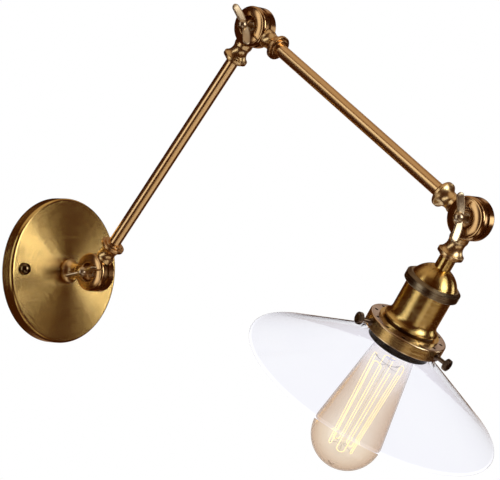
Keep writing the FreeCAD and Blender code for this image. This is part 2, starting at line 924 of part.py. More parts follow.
def lampholder_contact():
    """Headed centre contact in the core's floor."""
    stem = size.holder_wire_hole_radius - size.slip_clearance
    turned_piece("lampholder_contact", head, [
        (holder_floor - size.contact_stem_length, 0),
        (holder_floor - size.contact_stem_length, stem),
        (holder_floor, stem),
        (holder_floor, size.contact_head_radius),
        (bulb_start, size.contact_head_radius),
        (bulb_start, 0),
    ])


# Gallery and glass

def gallery_washer():
    tube_piece("gallery_washer", head, gallery_washer_start, size.gallery_washer_thickness,
               size.gallery_washer_radius, size.sleeve_radius + size.slip_clearance)


def gallery():
    """Cup round the sleeve, with a ring of vents in its top and screw holes in its wall."""
    inner = size.gallery_radius - size.gallery_sheet
    body = new_body("gallery")
    turn(body, [
        (gallery_start, size.gallery_hole_radius),
        (gallery_start, inner),
        (gallery_floor, size.gallery_radius, -size.gallery_sheet),
        (gallery_end, size.gallery_radius),
        (gallery_end, inner),
        (gallery_floor, inner),
        (gallery_floor, size.gallery_hole_radius),
    ])
    vent = new_sketch(body, "YZ_Plane", offset=gallery_floor)
    draw_circle(vent, size.gallery_vent_radius,
                size.gallery_vent_circle * cosine(size.gallery_vent_angle),
                size.gallery_vent_circle * sine(size.gallery_vent_angle))
    polar_copies(body, [cut_through(body, vent)], size.gallery_vents)
    hole = new_sketch(body, "XZ_Plane")
    draw_circle(hole, size.shade_screw_radius + size.slip_clearance, shade_screw_station)
    polar_copies(body, [cut_through(body, hole, reverse=True)], SHADE_SCREWS)
    head.carry(body, -size.shade_screw_angle)


def gallery_nut():
    """Tall ring nut under the gallery."""
    bore = size.sleeve_radius + size.slip_clearance
    turned_piece("gallery_nut", head, [
        (gallery_floor, bore),
        (gallery_floor, size.gallery_nut_radius),
        (nut_end - size.gallery_nut_round, size.gallery_nut_radius),
        (nut_end, size.gallery_nut_radius - size.gallery_nut_round, -size.gallery_nut_round),
        (nut_end, bore),
    ])


def glass_shade():
    """Conical glass with a lipped fitter neck, a bent shoulder and a rounded rim."""
    neck_inner = size.shade_neck_radius - size.shade_glass
    inner_bend = size.shade_bend_radius + size.shade_glass
    bend_centre = size.shade_neck_radius + size.shade_bend_radius
    sin_slope = sine(size.shade_slope_angle)
    cos_slope = cosine(size.shade_slope_angle)
    cone_start = shade_bend + size.shade_bend_radius * sin_slope
    cone_radius = bend_centre - size.shade_bend_radius * cos_slope
    rim = cone_start + (size.shade_radius - cone_radius) / tangent(size.shade_slope_angle)
    turned_piece("glass_shade", head, [
        (shade_start, neck_inner),
        (shade_start, size.shade_lip_radius - size.shade_lip_round),
        (shade_start + size.shade_lip_round, size.shade_lip_radius, -size.shade_lip_round),
        (shade_lip_end - size.shade_lip_round, size.shade_lip_radius),
        (shade_lip_end, size.shade_neck_radius),
        (shade_bend, size.shade_neck_radius),
        (cone_start, cone_radius, size.shade_bend_radius),
        (rim, size.shade_radius),
        (rim + size.shade_glass * sin_slope, size.shade_radius - size.shade_glass * cos_slope,
         -size.shade_rim_round),
        (shade_bend + inner_bend * sin_slope, bend_centre - inner_bend * cos_slope),
        (shade_bend, neck_inner, -inner_bend),
    ])


def shade_screw(label, number):
    """Thumb screw through the gallery's wall, drawn along its own -Y."""
    tip = -(size.shade_neck_radius + size.shade_screw_tip_gap)
    head_end = -size.shade_screw_reach
    head_start = head_end + size.shade_screw_head_length
    rounding = size.shade_screw_round
    head_edge = size.shade_screw_head_radius - rounding
    body = new_body(label)
    turn(body, [
        (0, tip),
        (0, head_end),
        (head_edge, head_end),
        (size.shade_screw_head_radius, head_end + rounding, rounding),
        (size.shade_screw_head_radius, head_start - rounding),
        (head_edge, head_start, rounding),
        (size.shade_screw_radius, head_start),
        (size.shade_screw_radius, tip),
    ], axis="V_Axis")
    spot = head.along(shade_screw_station, head.turn)
    spot.carry(body, -(size.shade_screw_angle + 360 * number / SHADE_SCREWS))


# Bulb

def bulb_cap():
    """Thin screw cap of the bulb."""
    inner = size.bulb_cap_radius - size.bulb_cap_sheet
    shoulder = bulb_cap_start + size.bulb_cap_taper
    turned_piece("bulb_cap", head, [
        (bulb_cap_start, size.bulb_base_radius - size.bulb_cap_sheet),
        (bulb_cap_start, size.bulb_base_radius),
        (shoulder, size.bulb_cap_radius),
        (bulb_cap_end, size.bulb_cap_radius),
        (bulb_cap_end, inner),
        (shoulder + size.bulb_cap_sheet, inner),
    ])


def bulb_cap_insulator():
    turned_piece("bulb_cap_insulator", head, [
        (bulb_base, 0),
        (bulb_base, size.bulb_contact_radius),
        (bulb_cap_start, size.bulb_base_radius),
        (bulb_cap_start, 0),
    ])


def bulb_contact():
    turned_piece("bulb_contact", head, [
        (bulb_start, 0),
        (bulb_start, size.bulb_contact_radius),
        (bulb_base, size.bulb_contact_radius),
        (bulb_base, 0),
    ])


def bulb_tuck_radius():
    """Outside radius of the glass where it is cemented into the cap."""
    return size.bulb_cap_radius - size.bulb_cap_sheet - size.slip_clearance


def bulb_glass():
    """Pear-shaped envelope: throat in the cap, straight flare, round end and sealed tip."""
    wall = size.bulb_glass_wall
    centre = bulb_end - size.bulb_tip_length - size.bulb_radius
    throat_end = bulb_cap_end + size.bulb_throat
    sin_flare = sine(size.bulb_flare_angle)
    cos_flare = cosine(size.bulb_flare_angle)
    round_start = centre - size.bulb_radius * sin_flare
    round_radius = size.bulb_radius * cos_flare
    throat_radius = round_radius - (round_start - throat_end) * tangent(size.bulb_flare_angle)
    inner_round = size.bulb_radius - wall
    tip_base = centre + square_root(size.bulb_radius * size.bulb_radius
                                    - size.bulb_tip_radius * size.bulb_tip_radius)
    tuck = bulb_tuck_radius()
    turned_piece("bulb_glass", head, [
        (stem_start, tuck - wall),
        (stem_start, tuck),
        (bulb_cap_end, tuck),
        (throat_end, throat_radius),
        (round_start, round_radius),
        (tip_base, size.bulb_tip_radius, -size.bulb_radius),
        (bulb_end, 0),
        (centre + inner_round, 0),
        (centre - inner_round * sin_flare, inner_round * cos_flare, inner_round),
        (throat_end, throat_radius - wall / cos_flare),
        (bulb_cap_end, tuck - wall),
    ])


def bulb_stem():
    """Flared glass stem sealed into the throat."""
    flare = bulb_tuck_radius() - size.bulb_glass_wall - size.slip_clearance
    flare_end = stem_start + size.stem_flare_thickness
    turned_piece("bulb_stem", head, [
        (stem_start, 0),
        (stem_start, flare),
        (flare_end, flare),
        (flare_end + size.stem_taper_length, size.stem_radius),
        (stem_start + size.stem_length, size.stem_radius),
        (stem_start + size.stem_length, 0),
    ])


def filament_supports():
    """Glass rod on the stem with a ring of hooks at each end of the filament."""
    start = stem_start + size.stem_length
    body = new_body("filament_supports")
    rod = new_sketch(body, "YZ_Plane", offset=start)
    draw_circle(rod, size.support_rod_radius)
    extrude(body, rod, filament_end + size.support_rod_radius - start)
    hooks = []
    for place, circle in ((filament_start, size.filament_top_circle),
                          (filament_end, size.filament_base_circle)):
        wire = new_sketch(body, "XZ_Plane")
        draw_circle(wire, size.support_wire_radius, place)
        hooks.append(extrude(body, wire, circle - size.filament_radius - size.slip_clearance))
    polar_copies(body, hooks, size.filament_strands)
    head.carry(body)


def filament():
    """Cage of straight strands between the two rings of hooks."""
    body = new_body("filament")
    ends = []
    for place, circle in ((filament_start, size.filament_top_circle),
                          (filament_end, size.filament_base_circle)):
        ends.append(new_sketch(body, "YZ_Plane", offset=place))
        draw_circle(ends[-1], size.filament_radius, -circle)
    strand = body.newObject("PartDesign::AdditiveLoft", "filament_strand")
    strand.Profile = ends[0]
    strand.Sections = [ends[1]]
    polar_copies(body, [strand], size.filament_strands)
    head.carry(body)


# The whole lamp

def build_wall_end():
    wall_plate()
    mounting_bracket()
    bracket_studs()
    cap_nuts()
    wall_nipple()
    wall_lock_washer()
    wall_lock_nut()
    terminal_block()
    terminal_screws()
    earth_screw()


def build_knuckles_and_arms():
    knuckle_half("wall_knuckle", wall_neck, rear=False)
    knuckle_half("shoulder_knuckle", lower_arm, rear=True)
    knuckle_half("elbow_knuckle_front", elbow_back, rear=False)
    knuckle_half("elbow_knuckle_rear", upper_arm, rear=True)
    knuckle_half("head_knuckle_front", head_back, rear=False)
    knuckle_half("head_knuckle_rear", head, rear=True)
    arm_tube("lower_arm_tube", lower_arm)
    arm_tube("upper_arm_tube", upper_arm)
    joints = (("shoulder", lower_arm, size.shoulder_wing_angle),
              ("elbow", upper_arm, size.elbow_wing_angle),
              ("head", head, size.head_wing_angle))
    for name, joint, wing_turn in joints:
        friction_washer(f"{name}_washer", joint)
        wing_screw(f"{name}_wing_screw", joint, wing_turn)


def build_head():
    head_nipple()
    socket_cap()
    socket_ring()
    socket_shell()
    lampholder()
    lampholder_screws()
    lampholder_screw_shell()
    lampholder_contact()
    gallery_washer()
    gallery()
    gallery_nut()
    glass_shade()
    for number, side in enumerate(("left", "right", "back")):
        shade_screw(f"shade_screw_{side}", number)


def build_bulb():
    bulb_cap()
    bulb_cap_insulator()
    bulb_contact()
    bulb_glass()
    bulb_stem()
    filament_supports()
    filament()


def check(item):
    """Stop on an object that failed to compute."""
    faults = [state for state in item.State if state in ("Invalid", "Error")]
    if faults:
        raise RuntimeError(f"{item.Label} failed: {faults}")


def write_parts():
    """Write each body to its own file."""
    for item in document.Objects:
        check(item)
    bodies = [item for item in document.Objects if item.TypeId == "PartDesign::Body"]
    for body in bodies:
        if body.Shape.isNull() or not body.Shape.isValid():
            raise RuntimeError(f"{body.Label} has no valid shape")
    os.makedirs("parts", exist_ok=True)
    for body in bodies:
        body.Shape.exportStep(f"parts/{body.Label}.step")
        solids = len(body.Shape.Solids)
        print(f"{body.Label}: {solids} solid, {body.Shape.Volume / 1000:.3f} cm3")


build_wall_end()
build_knuckles_and_arms()
build_head()
build_bulb()
document.recompute()
write_parts()
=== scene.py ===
import json
import math

import bmesh
import bpy
import numpy as np
from mathutils import Matrix, Vector


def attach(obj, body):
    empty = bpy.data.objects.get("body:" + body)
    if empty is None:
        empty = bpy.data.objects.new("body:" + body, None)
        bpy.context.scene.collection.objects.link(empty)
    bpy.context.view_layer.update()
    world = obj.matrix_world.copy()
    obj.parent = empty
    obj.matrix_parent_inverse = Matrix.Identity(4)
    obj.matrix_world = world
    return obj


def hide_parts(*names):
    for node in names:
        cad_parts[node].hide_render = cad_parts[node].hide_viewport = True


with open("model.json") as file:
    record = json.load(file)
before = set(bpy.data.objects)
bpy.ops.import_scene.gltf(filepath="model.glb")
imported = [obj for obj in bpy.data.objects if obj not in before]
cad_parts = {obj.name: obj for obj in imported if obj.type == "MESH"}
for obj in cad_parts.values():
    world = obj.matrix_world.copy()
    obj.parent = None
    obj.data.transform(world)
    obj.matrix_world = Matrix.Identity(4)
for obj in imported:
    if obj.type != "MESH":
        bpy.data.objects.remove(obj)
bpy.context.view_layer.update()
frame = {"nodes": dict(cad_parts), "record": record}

MM = 0.001

# Places of the lamp, in millimetres and degrees, as in the CAD model
ARM_LENGTH = 250
SHOULDER_REACH = 46
LOWER_ARM_ANGLE = 50.85
UPPER_ARM_DROP = 34.75
HEAD_LEAN = 31.5


def in_arm_plane(angle):
    """Unit vector of the XZ plane, in which the arms swing, at an angle above +X."""
    return np.array([math.cos(math.radians(angle)), 0, math.sin(math.radians(angle))])


OUT = np.array([1.0, 0, 0])
FRONT = np.array([0, -1.0, 0])
LOWER = in_arm_plane(LOWER_ARM_ANGLE)
UPPER = in_arm_plane(-UPPER_ARM_DROP)
HEAD = in_arm_plane(-90 - HEAD_LEAN)
HEAD_SIDE = in_arm_plane(-HEAD_LEAN)
SHOULDER = SHOULDER_REACH * OUT
ELBOW = SHOULDER + ARM_LENGTH * LOWER
NECK = ELBOW + ARM_LENGTH * UPPER


def head_spoke(turn):
    """Unit vector square to the head's axis, for each turn round it in radians."""
    return np.multiply.outer(np.cos(turn), HEAD_SIDE) - np.multiply.outer(np.sin(turn), FRONT)


# Shader nodes

class Term:
    """A shader socket that takes part in sums."""

    def __init__(self, nodes, socket):
        self.nodes = nodes
        self.socket = socket

    def __add__(self, other):
        return self.nodes.maths("ADD", self, other)

    def __radd__(self, other):
        return self.nodes.maths("ADD", other, self)

    def __sub__(self, other):
        return self.nodes.maths("SUBTRACT", self, other)

    def __rsub__(self, other):
        return self.nodes.maths("SUBTRACT", other, self)

    def __mul__(self, other):
        return self.nodes.maths("MULTIPLY", self, other)

    def __rmul__(self, other):
        return self.nodes.maths("MULTIPLY", other, self)

    def __pow__(self, other):
        return self.nodes.maths("POWER", self, other)


class Nodes:
    """A node tree and the one way that nodes are added to it."""

    def __init__(self, tree):
        self.tree = tree

    def node(self, kind, settings, inputs, output=0):
        made = self.tree.nodes.new(kind)
        for key, value in settings.items():
            setattr(made, key, value)
        for key, value in inputs.items():
            self.feed(made.inputs[key], value)
        return Term(self, made.outputs[output])

    def feed(self, socket, value):
        if isinstance(value, Term):
            self.tree.links.new(value.socket, socket)
        else:
            socket.default_value = value

    def maths(self, operation, *values):
        return self.node("ShaderNodeMath", {"operation": operation}, dict(enumerate(values)))

    def vector(self, operation, *vectors):
        return self.node("ShaderNodeVectorMath", {"operation": operation}, dict(enumerate(vectors)))

    def scaled(self, vector, factor):
        return self.node("ShaderNodeVectorMath", {"operation": "SCALE"}, {0: vector, "Scale": factor})

    def dot(self, vector, direction):
        return self.node("ShaderNodeVectorMath", {"operation": "DOT_PRODUCT"},
                         {0: vector, 1: tuple(direction)}, "Value")

    def length(self, vector):
        return self.node("ShaderNodeVectorMath", {"operation": "LENGTH"}, {0: vector}, "Value")

    def noise(self, vector, scale, detail=2.0, roughness=0.5):
        return self.node("ShaderNodeTexNoise", {},
                         {"Vector": vector, "Scale": scale, "Detail": detail, "Roughness": roughness})

    def lift(self, value, low, high, to_low=0.0, to_high=1.0):
        """Value from low to high, eased to run from to_low to to_high."""
        return self.node("ShaderNodeMapRange", {"interpolation_type": "SMOOTHSTEP"},
                         {0: value, 1: low, 2: high, 3: to_low, 4: to_high})

    def drop(self, value, low, high):
        """Value from low to high, eased to run from one to zero."""
        return self.lift(value, low, high, 1.0, 0.0)

    def mix(self, factor, first, second):
        return self.node("ShaderNodeMix", {"data_type": "RGBA"}, {0: factor, 6: first, 7: second}, 2)

    def ray(self, kind):
        return self.node("ShaderNodeLightPath", {}, {}, kind)

    def seen(self):
        """One for what the camera looks at, directly or through glass."""
        return self.maths("MAXIMUM", self.ray("Is Camera Ray"), self.ray("Is Transmission Ray"))


# Steps per metre of the brush lines and of the finer grooves on turned brass, and how much both change
# round the axis
BRUSH_LINES = 2600
GROOVES = 36000
LINES_ROUND = 1.6


class Finish(Nodes):
    """One material round a Principled shader."""

    def __init__(self, name, **constants):
        self.material = bpy.data.materials.new(name)
        self.material.use_nodes = True
        super().__init__(self.material.node_tree)
        self.shader = self.tree.nodes["Principled BSDF"]
        for key, value in constants.items():
            self.set(key.replace("_", " "), value)

    def set(self, name, value):
        self.feed(self.shader.inputs[name], value)

    def tone(self, value, low, high, first, second):
        """Base colour that goes from a first tone to a second one as a value goes from low to high."""
        self.set("Base Color", self.mix(self.lift(value, low, high), first, second))

    def place(self):
        return self.node("ShaderNodeTexCoord", {}, {}, "Object")

    def place_from(self, origin):
        """Object place measured from an origin in millimetres."""
        return self.vector("SUBTRACT", self.place(), tuple(np.asarray(origin) * MM))

    def about(self, place, axis):
        """Place along an axis, the distance from it, and the way round it."""
        around = self.vector("CROSS_PRODUCT", tuple(axis), place)
        return self.dot(place, axis), self.length(around), around

    def brush_lines(self, ring, around, fineness):
        """Noise that changes fast from ring to ring and slowly round the axis."""
        step = self.node("ShaderNodeCombineXYZ", {}, {0: ring * fineness})
        way = self.scaled(self.vector("NORMALIZE", around), LINES_ROUND)
        return self.noise(self.vector("ADD", step, way), 1.0, roughness=0.6)

    def lean(self, ring, around, spread):
        """Lean the surface across the brush lines, as fine grooves do, so that lights smear along it."""
        slope = (self.brush_lines(ring, around, GROOVES) - 0.5) * spread
        normal = self.node("ShaderNodeTexCoord", {}, {}, "Normal")
        across = self.vector("NORMALIZE", self.vector("CROSS_PRODUCT", normal, around))
        leaned = self.vector("NORMALIZE", self.vector("ADD", normal, self.scaled(across, slope)))
        to_world = {"vector_type": "NORMAL", "convert_from": "OBJECT", "convert_to": "WORLD"}
        self.set("Normal", self.node("ShaderNodeVectorTransform", to_world, {0: leaned}))

    def bump(self, height, distance, strength=1.0):
        made = self.node("ShaderNodeBump", {}, {"Strength": strength, "Distance": distance, "Height": height})
        self.set("Normal", made)


# Tones

def rgb(red, green, blue):
    return (red, green, blue, 1.0)


BLACK = rgb(0.0, 0.0, 0.0)
WHITE = rgb(1.0, 1.0, 1.0)
PLATE_LIGHT = rgb(0.80, 0.56, 0.20)
PLATE_DARK = rgb(0.72, 0.49, 0.165)
DRUM_LIGHT = rgb(0.65, 0.405, 0.18)
DRUM_DARK = rgb(0.40, 0.21, 0.08)
NECK_LIGHT = rgb(0.88, 0.64, 0.32)
NECK_DARK = rgb(0.60, 0.39, 0.17)
TUBE_LIGHT = rgb(0.86, 0.58, 0.29)
TUBE_DARK = rgb(0.76, 0.50, 0.23)
SHELL_LIGHT = rgb(0.82, 0.59, 0.21)
SHELL_DARK = rgb(0.70, 0.48, 0.16)
RING_LIGHT = rgb(0.36, 0.285, 0.18)
RING_DARK = rgb(0.20, 0.15, 0.09)
# Lighter gallery edges: wear and a painted highlight
WORN_AND_HIGHLIT_EDGE = rgb(0.86, 0.66, 0.40)
# Pale grey top of the gallery: a painted reflection
GALLERY_TOP_PAINTED_SHEEN = rgb(0.84, 0.76, 0.75)
GALLERY_TOP_PAINTED_SHEEN_DARK = rgb(0.68, 0.60, 0.59)
# Nearly black walls of the gallery's vents: painted shade
VENT_PAINTED_SHADE = rgb(0.01, 0.008, 0.007)
# Glow painted on the shade's rim as a highlight
RIM_PAINTED_GLOW = rgb(0.08, 0.08, 0.085)


# Materials, with their sizes in metres

# Ranges of a noise that are stretched to a full change of tone
WIDE_NOISE = (0.3, 0.7)
MIDDLE_NOISE = (0.35, 0.65)
NARROW_NOISE = (0.36, 0.64)
# Outside the plate's flat face the grooves lean less
PLATE_EDGE = 0.0568
EDGE_BLEND = 0.001
EDGE_SPREAD = 1.2


def turned_brass(name, origin, axis, light, dark, spread, rough, edge=None):
    """Brass turned and brushed in rings round an axis; spread is how far its grooves lean."""
    finish = Finish(name, Metallic=1.0)
    place = finish.place_from(origin)
    along, radius, around = finish.about(place, axis)
    if edge:
        spread = spread - finish.lift(radius, edge, edge + EDGE_BLEND, 0.0, spread - EDGE_SPREAD)
    lines = finish.brush_lines(along + radius, around, BRUSH_LINES)
    cloud = finish.noise(place, scale=45.0, detail=3.0)
    finish.tone(lines * 0.5 + cloud * 0.5, *NARROW_NOISE, dark, light)
    finish.set("Roughness", lines * 0.08 + rough)
    finish.lean(along + radius, around, spread)
    return finish.material


# Knuckle: depths from its middle and radii over which the painted shade of the bowl and of the waist
# fades, and the radii over which the neck leaves the drum
BOWL_DEPTHS = (0.0045, 0.0075)
BOWL_RADII = (0.0074, 0.0080)
WAIST_DEPTHS = (0.0039, 0.0041)
WAIST_RADII = (0.0149, 0.0152)
DRUM_RADIUS = 0.0157
NECK_RADII = (DRUM_RADIUS + 0.0001, DRUM_RADIUS + 0.0006)
BRIGHT_BLEND = 0.0006


def knuckle_brass(name, joint, bright_end):
    """Antique knuckle: a dark drum, painted darker still in its bowl and waist as shade in those hollows,
    and a neck in a brighter tone up to a distance from the joint."""
    finish = Finish(name, Metallic=1.0)
    place = finish.place_from(joint)
    along, radius, _ = finish.about(place, FRONT)
    depth = finish.maths("ABSOLUTE", along)
    in_bowl = finish.drop(depth, *BOWL_DEPTHS) * finish.drop(radius, *BOWL_RADII)
    in_waist = finish.drop(depth, *WAIST_DEPTHS) * finish.drop(radius, *WAIST_RADII)
    # Painted shade: the bowl and the waist are darkened, and made rougher, where shade falls in these hollows
    painted_recess_shade = finish.maths("MAXIMUM", in_bowl, in_waist)
    cloud = finish.noise(place, scale=90.0, detail=3.0)
    tone_with_painted_shade = finish.lift(cloud, *NARROW_NOISE, 0.7, 1.0) * (1 - 0.7 * painted_recess_shade)
    on_neck = finish.lift(radius, *NECK_RADII)
    bright = on_neck * finish.drop(finish.length(place), bright_end, bright_end + BRIGHT_BLEND)
    drum = finish.mix(tone_with_painted_shade, DRUM_DARK, DRUM_LIGHT)
    neck = finish.mix(tone_with_painted_shade, NECK_DARK, NECK_LIGHT)
    finish.set("Base Color", finish.mix(bright, drum, neck))
    finish.set("Roughness", cloud * 0.08 + painted_recess_shade * 0.1 + on_neck * 0.11 + 0.13)
    return finish.material


# Change of a tube's streaks along it, per metre
STREAK_DRIFT = 9


def drawn_brass(name, origin, axis):
    """Brass of a drawn tube: tones that change round the tube and only slowly along it."""
    finish = Finish(name, Metallic=1.0)
    along, _, around = finish.about(finish.place_from(origin), axis)
    drift = finish.node("ShaderNodeCombineXYZ", {}, {0: along * STREAK_DRIFT})
    way = finish.vector("ADD", finish.vector("NORMALIZE", around), drift)
    streak = finish.noise(way, scale=2.4, detail=3.0)
    finish.tone(streak, *WIDE_NOISE, TUBE_DARK, TUBE_LIGHT)
    finish.set("Roughness", streak * 0.08 + 0.19)
    return finish.material


def cast_brass(name, light, dark, rough):
    """Small cast pieces, polished: soft clouds of colour and roughness."""
    finish = Finish(name, Metallic=1.0)
    cloud = finish.noise(finish.place(), scale=90.0, detail=4.0)
    finish.tone(cloud, *WIDE_NOISE, dark, light)
    finish.set("Roughness", cloud * 0.12 + rough)
    return finish.material


def plain_piece(name, light, dark, rough, metallic=1.0):
    """Metal, or a moulding where it isn't metallic, with a mottled tone and a fine grain."""
    finish = Finish(name, Metallic=metallic)
    place = finish.place()
    cloud = finish.noise(place, scale=160.0, detail=4.0)
    finish.tone(cloud, *MIDDLE_NOISE, dark, light)
    finish.set("Roughness", cloud * 0.2 + rough)
    finish.bump(finish.noise(place, scale=1400.0), 0.00002)
    return finish.material


# Gallery: places along the head's axis from the head joint, over which its top face, painted pale grey as a
# reflection, and its edges, painted lighter as wear and as a highlight, fade, and radii over which its ring
# of vents, whose walls are painted dark as shade, begins and ends
GALLERY_TOP = 0.0914
GALLERY_END = 0.1004
TOP_FACE = (GALLERY_TOP + 0.00003, GALLERY_TOP + 0.00008)
UPPER_WEAR_AND_HIGHLIGHT = (GALLERY_TOP + 0.0006, GALLERY_TOP + 0.0012)
LOWER_WEAR_AND_HIGHLIGHT = (GALLERY_END - 0.0007, GALLERY_END - 0.0004)
VENT_INNER = (0.0236, 0.0240)
VENT_OUTER = (0.0278, 0.0282)


def gallery_brass(name, light, dark):
    """Brushed cup of the gallery: edges painted lighter, as wear and as a painted highlight, a top face
    painted pale grey as a painted reflection, and vent walls painted dark as shade.
    """
    finish = Finish(name, Metallic=1.0)
    along, radius, around = finish.about(finish.place_from(NECK), HEAD)
    lines = finish.brush_lines(along + radius, around, BRUSH_LINES)
    # Edges painted lighter: wear and a painted highlight
    worn_and_highlit = finish.drop(along, *UPPER_WEAR_AND_HIGHLIGHT) + finish.lift(along, *LOWER_WEAR_AND_HIGHLIGHT)
    wall = finish.mix(worn_and_highlit, finish.mix(lines, dark, light), WORN_AND_HIGHLIT_EDGE)
    # Top face painted pale grey: a painted reflection
    top = finish.drop(along, *TOP_FACE)
    face = finish.mix(top, wall, finish.mix(lines, GALLERY_TOP_PAINTED_SHEEN_DARK, GALLERY_TOP_PAINTED_SHEEN))
    # Vent walls painted nearly black: painted shade
    vent_painted_shade = (1 - top) * finish.drop(radius, *VENT_OUTER) * finish.lift(radius, *VENT_INNER)
    finish.set("Base Color", finish.mix(vent_painted_shade, face, VENT_PAINTED_SHADE))
    finish.set("Roughness", lines * 0.08 + 0.17 + vent_painted_shade * 0.5)
    finish.lean(along + radius, around, 1.6)
    return finish.material


def waved_glass(name, bend):
    """Start of a clear glass, its surface waved a little; bend is how strongly it breaks light."""
    finish = Finish(name, Roughness=0.0, IOR=bend, Transmission_Weight=1.0)
    finish.bump(finish.noise(finish.place(), scale=60.0, detail=1.0), 0.0001, 0.15)
    return finish


def clear_glass(name, bend, tint, other_tint):
    """Glass with a trace of colour that varies softly."""
    finish = waved_glass(name, bend)
    finish.tone(finish.noise(finish.place(), scale=25.0), *WIDE_NOISE, tint, other_tint)
    return finish


# Places along the head's axis between which the bulb's glass turns from clear to amber
AMBER_PLACES = (0.108, 0.153)


def bulb_glass(name, clear_tint, tint, thick_tint):
    """Amber glass: clear near the cap, deeper in colour at its edges, where more of it is looked through."""
    finish = waved_glass(name, 1.45)
    along, _, _ = finish.about(finish.place_from(NECK), HEAD)
    facing = finish.node("ShaderNodeLayerWeight", {}, {"Blend": 0.6}, "Facing")
    amber = finish.mix(facing, tint, thick_tint)
    finish.set("Base Color", finish.mix(finish.lift(along, *AMBER_PLACES), clear_tint, amber))
    return finish.material


# Shade: its radius, the place of its rim along the head's axis, the slope of its wall, and where along the
# wall from the end its painted rim glow begins
SHADE_RADIUS = 0.0984
SHADE_RIM = 0.1460
SHADE_SLOPE = math.radians(61.4)
RIM_START = 0.0010
RIM_FULL = 0.0005


def shade_glass(name, tint, other_tint):
    """Clear glass with a painted glow on its rim, a painted highlight along its edge."""
    finish = clear_glass(name, 1.12, tint, other_tint)
    along, radius, _ = finish.about(finish.place_from(NECK), HEAD)
    down_wall = along * math.cos(SHADE_SLOPE) + radius * math.sin(SHADE_SLOPE)
    end = SHADE_RIM * math.cos(SHADE_SLOPE) + SHADE_RADIUS * math.sin(SHADE_SLOPE)
    rim = finish.lift(down_wall, end - RIM_START, end - RIM_FULL)
    # Painted highlight: the rim glows faintly, though glass gives no light
    finish.set("Emission Strength", 1.0)
    finish.set("Emission Color", finish.mix(rim, BLACK, RIM_PAINTED_GLOW))
    return finish.material


def glowing_wire(name):
    """Hot filament: brighter and paler in places."""
    finish = Finish(name, Metallic=1.0, Roughness=0.5, Emission_Strength=1.35)
    cloud = finish.noise(finish.place(), scale=120.0)
    finish.set("Base Color", finish.mix(cloud, rgb(0.5, 0.35, 0.15), rgb(0.8, 0.6, 0.3)))
    finish.set("Emission Color", finish.mix(cloud, rgb(0.95, 0.76, 0.30), rgb(1.0, 0.93, 0.64)))
    return finish.material


MATERIALS = {
    "brushed_brass": turned_brass("brushed_socket", NECK, HEAD, SHELL_LIGHT, SHELL_DARK, 1.6, 0.15),
    "polished_brass": cast_brass("polished_castings", rgb(0.50, 0.37, 0.22), rgb(0.40, 0.28, 0.16), 0.16),
    "arm_brass": drawn_brass("lower_tube_brass", ELBOW, LOWER),
    "plain_brass": plain_piece("turned_brass", rgb(0.75, 0.55, 0.24), rgb(0.60, 0.42, 0.16), 0.2),
    "dark_bronze": plain_piece("bronzed_brass", rgb(0.15, 0.10, 0.065), rgb(0.07, 0.045, 0.03), 0.2),
    "zinc_steel": plain_piece("zinc_plate", rgb(0.62, 0.63, 0.65), rgb(0.48, 0.48, 0.47), 0.3),
    "white_insulator": plain_piece("white_moulding", rgb(0.80, 0.79, 0.74), rgb(0.72, 0.71, 0.66), 0.4,
                                   metallic=0.0),
    "black_insulator": plain_piece("black_moulding", rgb(0.03, 0.028, 0.026), rgb(0.02, 0.018, 0.017), 0.4,
                                   metallic=0.0),
    "clear_glass": shade_glass("shade_glass", rgb(0.942, 0.945, 0.992), rgb(0.928, 0.93, 0.985)),
    "amber_glass": bulb_glass("bulb_glass", rgb(0.98, 0.97, 0.975), rgb(0.97, 0.91, 0.82),
                              rgb(0.72, 0.54, 0.41)),
    "filament_wire": glowing_wire("hot_filament"),
}
CLAMP_BRASS = cast_brass("clamp_brass", rgb(0.74, 0.60, 0.40), rgb(0.62, 0.48, 0.30), 0.26)
STEM_GLASS = clear_glass("stem_glass", 1.3, rgb(0.97, 0.95, 0.92), rgb(0.94, 0.92, 0.89)).material

# Finishes of single nodes, where the slot's own finish is turned another way or has another tone
NODE_FINISHES = {
    "wall_plate": turned_brass("brushed_plate", (0, 0, 0), OUT, PLATE_LIGHT, PLATE_DARK, 3.5, 0.15,
                               edge=PLATE_EDGE),
    "upper_arm_tube": drawn_brass("upper_tube_brass", ELBOW, UPPER),
    "socket_ring": turned_brass("ring_bronze", NECK, HEAD, RING_LIGHT, RING_DARK, 1.0, 0.24),
    "socket_cap": turned_brass("dome_brass", NECK, HEAD, SHELL_LIGHT, SHELL_DARK, 1.8, 0.1),
    "gallery": gallery_brass("gallery_brass", rgb(0.60, 0.39, 0.14), rgb(0.48, 0.30, 0.10)),
    "cap_nuts": cast_brass("cap_nut_bronze", rgb(0.26, 0.19, 0.10), rgb(0.14, 0.095, 0.05), 0.06),
    "lampholder": plain_piece("sleeve_bronze", rgb(0.12, 0.06, 0.03), rgb(0.06, 0.028, 0.014), 0.3),
    # Gallery nut painted nearly black: painted shade seen through the glass neck
    "gallery_nut": plain_piece("nut_painted_shade", rgb(0.035, 0.024, 0.016), rgb(0.018, 0.012, 0.008), 0.3),
}
# Where the bright part of a neck ends, in metres from its joint: before the rim, or after it
BEFORE_RIM = 0.0262
AFTER_RIM = 0.0304
KNUCKLES = {
    "wall_knuckle": (SHOULDER, AFTER_RIM),
    "shoulder_knuckle": (SHOULDER, BEFORE_RIM),
    "elbow_knuckle_front": (ELBOW, AFTER_RIM),
    "elbow_knuckle_rear": (ELBOW, BEFORE_RIM),
    "head_knuckle_front": (NECK, AFTER_RIM),
    "head_knuckle_rear": (NECK, AFTER_RIM),
}
for knuckle, neck in KNUCKLES.items():
    NODE_FINISHES[knuckle] = knuckle_brass(f"{knuckle}_brass", *neck)


